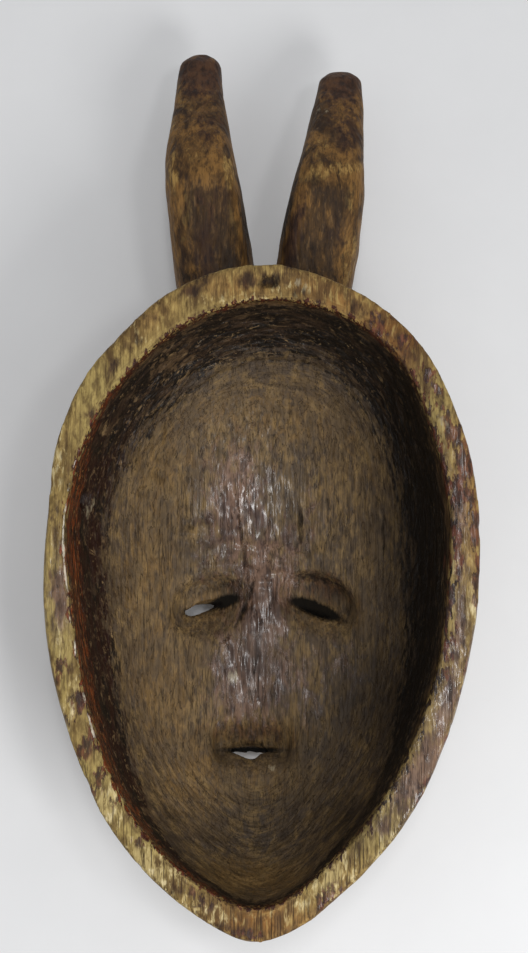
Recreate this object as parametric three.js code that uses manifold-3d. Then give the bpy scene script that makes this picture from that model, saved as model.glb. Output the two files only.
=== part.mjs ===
// A carved wooden face mask with two horns, lying on its face with the hollow inside up.
// One piece of wood: a deep shell with a flat rim, horns that leave the top of the forehead
// and curve forward, two slanting eye slits and a mouth slit cut through from scooped recesses.
// Millimetres. X runs across the face, +Y towards the horns, +Z up and out of the hollow.
// The origin is the middle of the bounding box, on the surface that the mask lies on.
import * as THREE from "three";
import { mergeVertices } from "three/addons/utils/BufferGeometryUtils.js";
import Module from "manifold-3d";

const wasm = await Module();
wasm.setup();

// Driving dimensions. The shell is worked out about the middle of the face, and the finished
// mask is moved at the end.
const RIM_HEIGHT = 90;
const SHELL = { depth: 75, across: 3.0, down: 2.2, middleRings: 13, wallRings: 9 };
const CAVITY = { depth: 60, across: 4.4, down: 2.8, middleRings: 6, wallRings: 8 };
const MIDDLE_SHARE = 0.72;
const ANGLE_STEPS = 72;

// The rim, anticlockwise from +X: angle in degrees, outer radius, width of the flat band.
const RIM = [
  [0, 91, 13.5],
  [20, 98, 14],
  [40, 111.1, 15],
  [60, 128, 13.2],
  [75, 137, 14],
  [90, 140.9, 17],
  [105, 136, 17.5],
  [120, 124.8, 15.7],
  [130, 118.3, 14.8],
  [140, 110.3, 13.2],
  [160, 95.9, 9],
  [180, 91.4, 11.7],
  [200, 92.7, 12.5],
  [220, 100.8, 11.8],
  [240, 116.9, 12],
  [248, 124.3, 12.3],
  [258, 133.2, 12.6],
  [268, 141.4, 14],
  [276, 137.3, 14.5],
  [286, 126, 15],
  [304, 110.2, 15],
  [320, 98.8, 14.1],
  [340, 91.6, 13.3],
];

// Broad forms, as mounds on a surface: centre x, y, spread x, y, height.
const FACE_MOUNDS = [
  [0, 58, 54, 43, 21.5],
  [-27, -7, 21, 14, -8],
  [27, -7, 21, 14, -8],
  [-40, -42, 22, 24, 3],
  [40, -42, 22, 24, 3],
  [-3, -70, 27, 17, 6],
  [0, -106, 27, 16, 8],
];
const CAVITY_MOUNDS = [[0, 48, 42, 40, 6]];

// The horns from root to tip: y, centre x, width, height of the back, height of the front.
const LEFT_HORN = [
  [96, -20, 20, 36, 30],
  [106, -19.6, 28, 41, 26.5],
  [122, -19.2, 36.5, 57, 26.5],
  [140, -19.9, 40, 64, 29],
  [162, -22.6, 39.6, 67.5, 34],
  [177, -24.8, 38, 69, 37],
  [190, -26.8, 36, 70, 39],
  [201, -28, 33.4, 66, 38],
  [214, -28.6, 29.8, 59.5, 35],
  [230, -29.2, 25.6, 50.5, 29.5],
  [246, -29.8, 22.4, 42, 24],
  [264, -29.4, 19.4, 34, 19],
];
const RIGHT_HORN = [
  [96, 20, 20, 36, 30],
  [106, 20, 28, 41, 26.5],
  [122, 20.8, 36.5, 57, 26.5],
  [140, 22.7, 39.6, 64, 29],
  [162, 26, 39.8, 67.5, 34],
  [176, 28.4, 38, 69, 37],
  [186, 30.2, 36, 70, 39],
  [197, 31.6, 32.8, 66, 38],
  [209, 33.4, 29.8, 60, 35],
  [223, 35.2, 26.8, 52, 30],
  [237, 36.9, 23.6, 44.5, 25.5],
  [254.5, 38.2, 20, 35.5, 20],
];
const HORN = { square: 3.4, innerSlope: 0.34, outerSlope: 0.1, sides: 20, steps: 15, crowding: 1.25 };
const HORN_TIP = { length: 7, size: 0.55 };

// The nose, from its root to its base: y, half width, height of the ridge.
const NOSE = [
  [24, 5, 12],
  [10, 6, 11],
  [-8, 7.5, 8],
  [-24, 10.5, 3.5],
  [-36, 13.5, -0.5],
  [-43, 14, -0.5],
  [-48, 11.5, 4],
];
const NOSE_SINK = 6;

// Eyes: middle and slant. Slits: middle, size, how far their ends are drawn out, and how they
// lean on their way out of the face, along their length and across it.
const EYES = [
  { x: -22.5, y: -4.5, slant: 17 },
  { x: 24.6, y: -3.5, slant: -23 },
];
const EYE_SLITS = [
  { x: -23.8, y: -3.4, length: 17, width: 6.2, drawn: 0, alongLean: -48, acrossLean: 0 },
  { x: 25.4, y: -5, length: 22, width: 5.6, drawn: 0, alongLean: 0, acrossLean: -36 },
];
const EYE_BULGE = { length: 42, width: 20, height: 9, pinch: 0.35, sink: 2 };
const EYE_SCOOP = { length: 41, width: 31, depth: 8.5, tilt: 20, lift: 1.5 };
const BROW = { start: 3, reach: 50, rise: 18, drop: 11, thick: 13, taper: 0.45, sink: 1.5 };

const MOUTH = { x: -4.3, y: -69.5, length: 35 };
const MOUTH_SLIT = { x: -4.5, y: -69.5, length: 33, width: 6.2, drawn: 0.3, alongLean: 0, acrossLean: -16 };
const MOUTH_SCOOP = { top: -52.5, deepest: -69.5, bottom: -76, depth: 6.5, floor: 3 };
const LIPS = { half: 23, open: 6.5, thick: 6.8, corner: 0.4, sink: 1 };
const BLADE_REACH = 80;

// A small blind pit in the left wall, and a shallow gouge across the rim over the forehead.
const PIT = { angle: 152, height: 61, radius: 4.6, depth: 3.4 };
const RIM_GOUGE = { x: 3.2, y: 132, length: 9, width: 5.5, depth: 2 };

// Closed cubic curve through one column of the rim table.
function alongRim(degrees, column) {
  const turn = ((degrees % 360) + 360) % 360;
  const count = RIM.length;
  let i = RIM.findLastIndex((row) => row[0] <= turn);
  const row = (k) => RIM[(k + count) % count];
  const angle = (k) => row(k)[0] + 360 * Math.floor(k / count);
  const span = angle(i + 1) - angle(i);
  const t = (turn - angle(i)) / span;
  const slope = (k) =>
    ((row(k + 1)[column] - row(k - 1)[column]) / (angle(k + 1) - angle(k - 1))) * span;
  const [a, b] = [row(i)[column], row(i + 1)[column]];
  const [ma, mb] = [slope(i), slope(i + 1)];
  const t2 = t * t;
  const t3 = t2 * t;
  return a * (2 * t3 - 3 * t2 + 1) + ma * (t3 - 2 * t2 + t) + b * (3 * t2 - 2 * t3) + mb * (t3 - t2);
}

// Radii of the rim's outer edge and of its inner edge.
const outerRadius = (degrees) => alongRim(degrees, 1);
const innerRadius = (degrees) => alongRim(degrees, 1) - alongRim(degrees, 2);

// Sum of the mounds of a list at a point.
function mounds(list, x, y) {
  return list.reduce((sum, [cx, cy, sx, sy, height]) => {
    return sum + height * Math.exp(-(((x - cx) / sx) ** 2) - ((y - cy) / sy) ** 2);
  }, 0);
}

// Height of the bowl at a share of the way out to its edge, 0 in the middle and 1 at the rim.
function bowlHeight(bowl, list, x, y, share) {
  const fall = Math.pow(Math.max(0, 1 - Math.pow(share, bowl.across)), 1 / bowl.down);
  return Math.max(0, RIM_HEIGHT - fall * (bowl.depth + mounds(list, x, y)));
}

function faceHeight(x, y) {
  const degrees = THREE.MathUtils.radToDeg(Math.atan2(y, x));
  return bowlHeight(SHELL, FACE_MOUNDS, x, y, Math.min(1, Math.hypot(x, y) / outerRadius(degrees)));
}

function cavityHeight(x, y) {
  const degrees = THREE.MathUtils.radToDeg(Math.atan2(y, x));
  return bowlHeight(CAVITY, CAVITY_MOUNDS, x, y, Math.min(1, Math.hypot(x, y) / innerRadius(degrees)));
}

// Moves every vertex of a geometry to where place(position) says.
function reshape(geometry, place) {
  const position = geometry.getAttribute("position");
  const point = new THREE.Vector3();
  for (let i = 0; i < position.count; i++) {
    position.setXYZ(i, ...place(point.fromBufferAttribute(position, i)));
  }
  return geometry;
}

// Value of column at y in a table whose first column falls or rises steadily.
function along(table, y, column) {
  const rising = table[1][0] > table[0][0];
  let i = table.findIndex((row) => (rising ? row[0] > y : row[0] < y));
  if (i === -1) i = table.length - 1;
  if (i === 0) i = 1;
  const [from, to] = [table[i - 1], table[i]];
  const t = THREE.MathUtils.clamp((y - from[0]) / (to[0] - from[0]), 0, 1);
  return THREE.MathUtils.lerp(from[column], to[column], t);
}

// A closed solid from a geometry. One that was mirrored by reshaping has its faces turned back.
function solid(geometry) {
  const bare = geometry.clone();
  bare.deleteAttribute("normal");
  bare.deleteAttribute("uv");
  const merged = mergeVertices(bare, 1e-3);
  const vertProperties = merged.getAttribute("position").array;
  const triVerts = new Uint32Array(merged.index.array);
  const made = new wasm.Manifold(new wasm.Mesh({ numProp: 3, vertProperties, triVerts }));
  if (made.volume() > 0) return made;
  return new wasm.Manifold(new wasm.Mesh({ numProp: 3, vertProperties, triVerts: triVerts.reverse() }));
}

// Shares of the way out at which a surface of the shell has a ring of vertices.
function ringShares({ across, middleRings, wallRings }) {
  const middle = Array.from({ length: middleRings }, (_, i) => (MIDDLE_SHARE * (i + 1)) / middleRings);
  const start = Math.acos(Math.pow(MIDDLE_SHARE, across / 2));
  const wall = Array.from({ length: wallRings }, (_, i) => {
    return Math.pow(Math.cos(start * (1 - (i + 1) / wallRings)), 2 / across);
  });
  return [0, ...middle, ...wall];
}

// The shell is a turned form whose rings follow the rim, the face below and the hollow above.
function shell() {
  const profile = [
    ...ringShares(SHELL).map((share) => new THREE.Vector2(share, -1)),
    ...ringShares(CAVITY).reverse().map((share) => new THREE.Vector2(share, 1)),
  ];
  return reshape(new THREE.LatheGeometry(profile, ANGLE_STEPS), ({ x, y: level, z }) => {
    const share = Math.hypot(x, z);
    const angle = Math.atan2(z, x);
    const degrees = THREE.MathUtils.radToDeg(angle);
    const isFace = level < 0;
    const radius = share * (isFace ? outerRadius(degrees) : innerRadius(degrees));
    const [px, py] = [radius * Math.cos(angle), radius * Math.sin(angle)];
    const height = isFace
      ? bowlHeight(SHELL, FACE_MOUNDS, px, py, share)
      : bowlHeight(CAVITY, CAVITY_MOUNDS, px, py, share);
    return [px, py, height];
  });
}

// A horn is a bar along +Y whose sections follow its table. The back is flat, the side towards
// the other horn slopes most, and the tip is cut square with its edges rounded off.
function horn(table, inward) {
  const [root, tip] = [table[0][0], table.at(-1)[0]];
  const blank = new THREE.CylinderGeometry(1, 1, 1, HORN.sides, HORN.steps, false);
  return reshape(blank, ({ x, y, z }) => {
    const share = 0.5 + y;
    const at = THREE.MathUtils.lerp(root, tip, 1 - Math.pow(1 - share, HORN.crowding));
    const rounding = Math.max(0, 1 - (tip - at) / HORN_TIP.length);
    const size = HORN_TIP.size + (1 - HORN_TIP.size) * Math.sqrt(1 - rounding ** 2);
    const spread = Math.hypot(x, z);
    const square = (v) => Math.sign(v) * Math.pow(Math.abs(v) / (spread || 1), 2 / HORN.square) * spread;
    const [across, up] = [square(x), square(z)];
    const slope = (across * inward > 0 ? HORN.innerSlope : HORN.outerSlope) * (1 - share);
    const half = (along(table, at, 2) / 2) * size;
    const [back, front] = [along(table, at, 3), along(table, at, 4)];
    return [
      along(table, at, 1) + across * half * (1 - (slope * (1 + up)) / 2),
      at,
      (back + front) / 2 + (up * size * (back - front)) / 2,
    ];
  });
}

// The nose is a bar along the middle, narrow at its ridge and let into the face behind.
function nose() {
  const [root, base] = [NOSE[0][0], NOSE.at(-1)[0]];
  return reshape(new THREE.CylinderGeometry(1, 1, 1, 14, 9, false), ({ x, y, z }) => {
    const at = THREE.MathUtils.lerp(base, root, 0.5 + y);
    const rise = (z + 1) / 2;
    const height = THREE.MathUtils.lerp(along(NOSE, at, 2), faceHeight(0, at) + NOSE_SINK, rise);
    return [(x * along(NOSE, at, 1) * (1 + Math.sqrt(rise))) / 2, at, Math.max(0, height)];
  });
}

// Lips: a ring that is thick above and below the mouth and pinched at its corners.
function lips() {
  return reshape(new THREE.TorusGeometry(2, 1, 10, 26), ({ x, y, z }) => {
    const turn = Math.atan2(y, x);
    const tube = Math.atan2(z, Math.hypot(x, y) - 2);
    const thick = LIPS.thick * THREE.MathUtils.lerp(LIPS.corner, 1, Math.abs(Math.sin(turn)));
    const px = MOUTH.x + (LIPS.half + (thick * Math.cos(tube)) / 2) * Math.cos(turn);
    const py = MOUTH.y + (LIPS.open + thick * Math.cos(tube)) * Math.sin(turn);
    return [px, py, faceHeight(px, py) + LIPS.sink - thick * Math.sin(tube)];
  });
}

// An almond laid on the face, turned by the slant of the eye.
function eyeBulge(eye) {
  const slant = THREE.MathUtils.degToRad(eye.slant);
  const middle = faceHeight(eye.x, eye.y);
  return reshape(new THREE.SphereGeometry(1, 20, 10), ({ x, y, z }) => {
    const u = (x * EYE_BULGE.length) / 2;
    const v = ((y * EYE_BULGE.width) / 2) * (1 - EYE_BULGE.pinch * x * x);
    return [
      eye.x + u * Math.cos(slant) - v * Math.sin(slant),
      eye.y + u * Math.sin(slant) + v * Math.cos(slant),
      middle + EYE_BULGE.sink - z * EYE_BULGE.height,
    ];
  });
}

// A ridge over one eye that thins and falls away towards the temple.
function brow(side) {
  return reshape(new THREE.CapsuleGeometry(1, 8, 3, 9, 9), ({ x, y, z }) => {
    const share = (y + 5) / 10;
    const thick = BROW.thick * (1 - BROW.taper * share);
    const px = side * (BROW.start + share * BROW.reach);
    const py = BROW.rise - BROW.drop * share * share + (x * thick) / 2;
    return [px, py, faceHeight(px, py) + BROW.sink - (z * thick) / 2];
  });
}

// A lens-shaped blade that passes through the wood and leans on its way out.
function slitCutter({ x, y, length, width, drawn, alongLean, acrossLean }, slant) {
  const lens = new THREE.Shape();
  const [end, pull, swell] = [length / 2, drawn * length, (width / 2) * (4 / 3)];
  lens.moveTo(-end, 0);
  lens.bezierCurveTo(pull, -swell, -pull, -swell, end, 0);
  lens.bezierCurveTo(-pull, swell, pull, swell, -end, 0);
  return new THREE.ExtrudeGeometry(lens, { depth: BLADE_REACH, bevelEnabled: false, curveSegments: 9 })
    .translate(0, 0, -BLADE_REACH / 2)
    .rotateX(THREE.MathUtils.degToRad(acrossLean))
    .rotateY(THREE.MathUtils.degToRad(-alongLean))
    .rotateZ(THREE.MathUtils.degToRad(slant))
    .translate(x, y, cavityHeight(x, y) - EYE_SCOOP.depth / 2);
}

// A scoop taken from the hollow, steep along the brow and shallow towards the cheek.
function eyeScoop(eye) {
  return new THREE.SphereGeometry(1, 20, 11)
    .scale(EYE_SCOOP.length / 2, EYE_SCOOP.width / 2, EYE_SCOOP.depth)
    .rotateX(THREE.MathUtils.degToRad(-EYE_SCOOP.tilt))
    .rotateZ(THREE.MathUtils.degToRad(eye.slant))
    .translate(eye.x, eye.y, cavityHeight(eye.x, eye.y) + EYE_SCOOP.lift);
}

// A wedge that starts at the surface above the mouth and is deepest along the slit.
function mouthScoop() {
  const { top, deepest, bottom, depth, floor: flat } = MOUTH_SCOOP;
  const floor = (y) => cavityHeight(MOUTH.x, y);
  const above = floor(top) + depth;
  const section = new THREE.Shape([
    new THREE.Vector2(above, top),
    new THREE.Vector2(floor(top), top),
    new THREE.Vector2(floor(deepest) - depth, deepest + flat / 2),
    new THREE.Vector2(floor(deepest) - depth, deepest - flat / 2),
    new THREE.Vector2(floor(bottom), bottom),
    new THREE.Vector2(above, bottom),
  ]);
  return new THREE.ExtrudeGeometry(section, { depth: MOUTH.length, bevelEnabled: false })
    .rotateY(-Math.PI / 2)
    .translate(MOUTH.x + MOUTH.length / 2, 0, 0);
}

// A round pit that runs level into the wall of the hollow.
function wallPit() {
  const angle = THREE.MathUtils.degToRad(PIT.angle);
  const edge = innerRadius(PIT.angle);
  const fall = (RIM_HEIGHT - PIT.height) / CAVITY.depth;
  const share = Math.pow(1 - Math.pow(fall, CAVITY.down), 1 / CAVITY.across);
  return new THREE.CylinderGeometry(PIT.radius, PIT.radius, 2 * PIT.depth, 14)
    .rotateZ(Math.PI / 2)
    .rotateZ(angle)
    .translate(share * edge * Math.cos(angle), share * edge * Math.sin(angle), PIT.height);
}

// A shallow dished hollow in the rim.
function rimGouge() {
  return new THREE.SphereGeometry(1, 14, 8)
    .scale(RIM_GOUGE.length / 2, RIM_GOUGE.width / 2, RIM_GOUGE.depth)
    .translate(RIM_GOUGE.x, RIM_GOUGE.y, RIM_HEIGHT);
}

// Everything that stands on the shell is joined to it first, then the hollows are cut.
function maskGeometry() {
  const added = [
    horn(LEFT_HORN, 1),
    horn(RIGHT_HORN, -1),
    nose(),
    lips(),
    brow(-1),
    brow(1),
    ...EYES.map(eyeBulge),
  ];
  const cut = [
    ...EYES.map(eyeScoop),
    ...EYE_SLITS.map((slit, i) => slitCutter(slit, EYES[i].slant)),
    mouthScoop(),
    slitCutter(MOUTH_SLIT, 0),
    wallPit(),
    rimGouge(),
  ];
  let body = solid(shell());
  for (const piece of added) body = body.add(solid(piece));
  for (const piece of cut) body = body.subtract(solid(piece));
  const mesh = body.getMesh();
  const geometry = new THREE.BufferGeometry();
  geometry.setAttribute("position", new THREE.BufferAttribute(new Float32Array(mesh.vertProperties), 3));
  geometry.setIndex(new THREE.BufferAttribute(new Uint32Array(mesh.triVerts), 1));
  geometry.computeVertexNormals();
  geometry.computeBoundingBox();
  const middle = geometry.boundingBox.getCenter(new THREE.Vector3());
  return geometry.translate(-middle.x, -middle.y, 0);
}

const wornWood = new THREE.MeshStandardMaterial({ color: 0x5d452d, roughness: 0.6, metalness: 0 });

const mask = new THREE.Mesh(maskGeometry(), wornWood);
mask.name = "mask";

const part = new THREE.Group();
part.add(mask);

export default part;
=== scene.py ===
# A carved horned face mask, seen from behind as it lies on its face on a pale surface.
# The CAD solid is copied, given the relief of hand-cut and long-worn wood, and painted by one
# procedural material whose zones are stored on the vertices. Lengths are metres unless a name
# ends in _MM; the carving itself is worked out in millimetres.
import math

import bmesh
import bpy
import numpy as np
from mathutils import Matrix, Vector


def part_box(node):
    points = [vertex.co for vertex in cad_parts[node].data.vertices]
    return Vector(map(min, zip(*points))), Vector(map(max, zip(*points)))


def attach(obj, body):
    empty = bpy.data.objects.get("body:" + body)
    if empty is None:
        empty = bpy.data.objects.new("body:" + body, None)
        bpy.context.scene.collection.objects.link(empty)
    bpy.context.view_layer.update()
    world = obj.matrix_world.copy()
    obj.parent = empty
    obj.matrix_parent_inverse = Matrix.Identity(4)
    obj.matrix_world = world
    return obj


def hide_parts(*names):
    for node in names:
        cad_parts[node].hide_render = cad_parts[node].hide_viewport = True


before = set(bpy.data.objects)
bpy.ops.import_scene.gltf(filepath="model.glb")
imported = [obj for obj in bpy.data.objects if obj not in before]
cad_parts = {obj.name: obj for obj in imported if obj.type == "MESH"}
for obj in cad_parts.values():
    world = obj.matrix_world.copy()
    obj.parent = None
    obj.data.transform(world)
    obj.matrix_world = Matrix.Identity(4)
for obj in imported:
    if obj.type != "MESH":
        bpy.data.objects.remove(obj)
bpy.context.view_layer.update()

NODE = "mask"
MM = 0.001

# The photograph's camera.
PICTURE = (528, 953)
CAMERA_PLACE = (0.000776, -0.09153, 0.6446)
CAMERA_TILT = math.radians(8)
CAMERA_FOCUS = 1333
SENSOR = 36

# The carving. CAD_SHIFT_MM goes from the frame's middle to the face's middle, FACET is the step of
# the CAD rim in degrees, and RING is the radius on which tool marks run round the hollow.
VOXEL = 0.00125
CAD_SHIFT_MM = np.array([0.424, 61.33, 0.0])
RIM_HEIGHT_MM = 90.0
RING = 85.0
FACET = 5.0
EDGE_MARGIN_MM = 0.01
MOST_TRIANGLES = 194000

# The rim as it is in the CAD solid, about the face's middle: angle, outer radius, band's width.
RIM = np.array([
    (0, 91, 13.5), (20, 98, 14), (40, 111.1, 15), (60, 128, 13.2), (75, 137, 14),
    (90, 140.9, 17), (105, 136, 17.5), (120, 124.8, 15.7), (130, 118.3, 14.8), (140, 110.3, 13.2),
    (160, 95.9, 9), (180, 91.4, 11.7), (200, 92.7, 12.5), (220, 100.8, 11.8), (240, 116.9, 12),
    (248, 124.3, 12.3), (258, 133.2, 12.6), (268, 141.4, 14), (276, 137.3, 14.5), (286, 126, 15),
    (304, 110.2, 15), (320, 98.8, 14.1), (340, 91.6, 13.3),
])

# The horns in the same frame: height along the mask, middle, width.
LEFT_HORN = np.array([
    (96, -20, 20), (122, -19.2, 36.5), (140, -19.9, 40), (162, -22.6, 39.6), (190, -26.8, 36),
    (214, -28.6, 29.8), (246, -29.8, 22.4), (264, -29.4, 19.4),
])
RIGHT_HORN = np.array([
    (96, 20, 20), (122, 20.8, 36.5), (140, 22.7, 39.6), (162, 26, 39.8), (186, 30.2, 36),
    (209, 33.4, 29.8), (237, 36.9, 23.6), (254.5, 38.2, 20),
])
BETWEEN_HORNS = 2.5
LEFT_KINK, RIGHT_KINK = 192, 187

# Directions about the face's middle, in degrees: the worn left, the right, and the unlit side,
# whose wall is painted darker as shade.
LEFT, RIGHT, UNLIT = 195, -8, -10

# Noises that the relief is cut with: width of the features along x, y, z, octaves and seed.
RELIEF = {
    "adze": ((26, 34, 26), 2, 3),
    "waves along the fibres": ((5, 16, 5), 3, 11),
    "dips of the rim": ((9, 22, 9), 3, 21),
    "outer nicks": ((7, 9, 7), 2, 31),
    "inner nicks": ((4, 5, 6), 2, 35),
    "cuts of the upper wall": ((9, 4.5, 4), 2, 41),
    "furrows of the side walls": ((3.2, 26, 5), 2, 61),
    "checks": ((3.4, 30, 12), 2, 71),
    "flats of the horns": ((13, 18, 13), 3, 81),
    "dents of the horns": ((6, 12, 6), 2, 85),
}

# Lights: name, place, what it is aimed at, side of its square, watts, tint.
LIGHTS = [
    ("window", (0.36, -0.5, 0.6), (-0.1, -0.16, 0), 0.28, 3.15, (1.0, 0.995, 0.98)),
    ("ceiling", (0.02, 0.1, 1.15), (-0.1, 0, 0), 0.14, 2.2, (1.0, 1.0, 1.0)),
    ("side window", (0.3, -0.06, 1.0), (0.1, -0.1, 0), 0.12, 0.9, (1.0, 1.0, 1.0)),
]
ROOM_LIGHT = 0.5
BACKING_HALF = 3.0

# How wide the stains along the inside edge are: angle, red band, dark wall, in millimetres.
WALL_STAIN = np.array([
    (0, 0.6, 17), (30, 0.9, 22), (60, 1.5, 26), (90, 1.8, 23), (120, 2.2, 25), (136, 2.7, 22),
    (143, 4.6, 20), (155, 5.4, 18), (170, 5.6, 17), (190, 5.2, 15), (210, 4.6, 15), (225, 4.0, 14),
    (240, 3.4, 9), (255, 2.0, 4), (275, 0.7, 2), (295, 0.6, 4), (320, 0.7, 12), (345, 0.6, 15),
])

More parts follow.
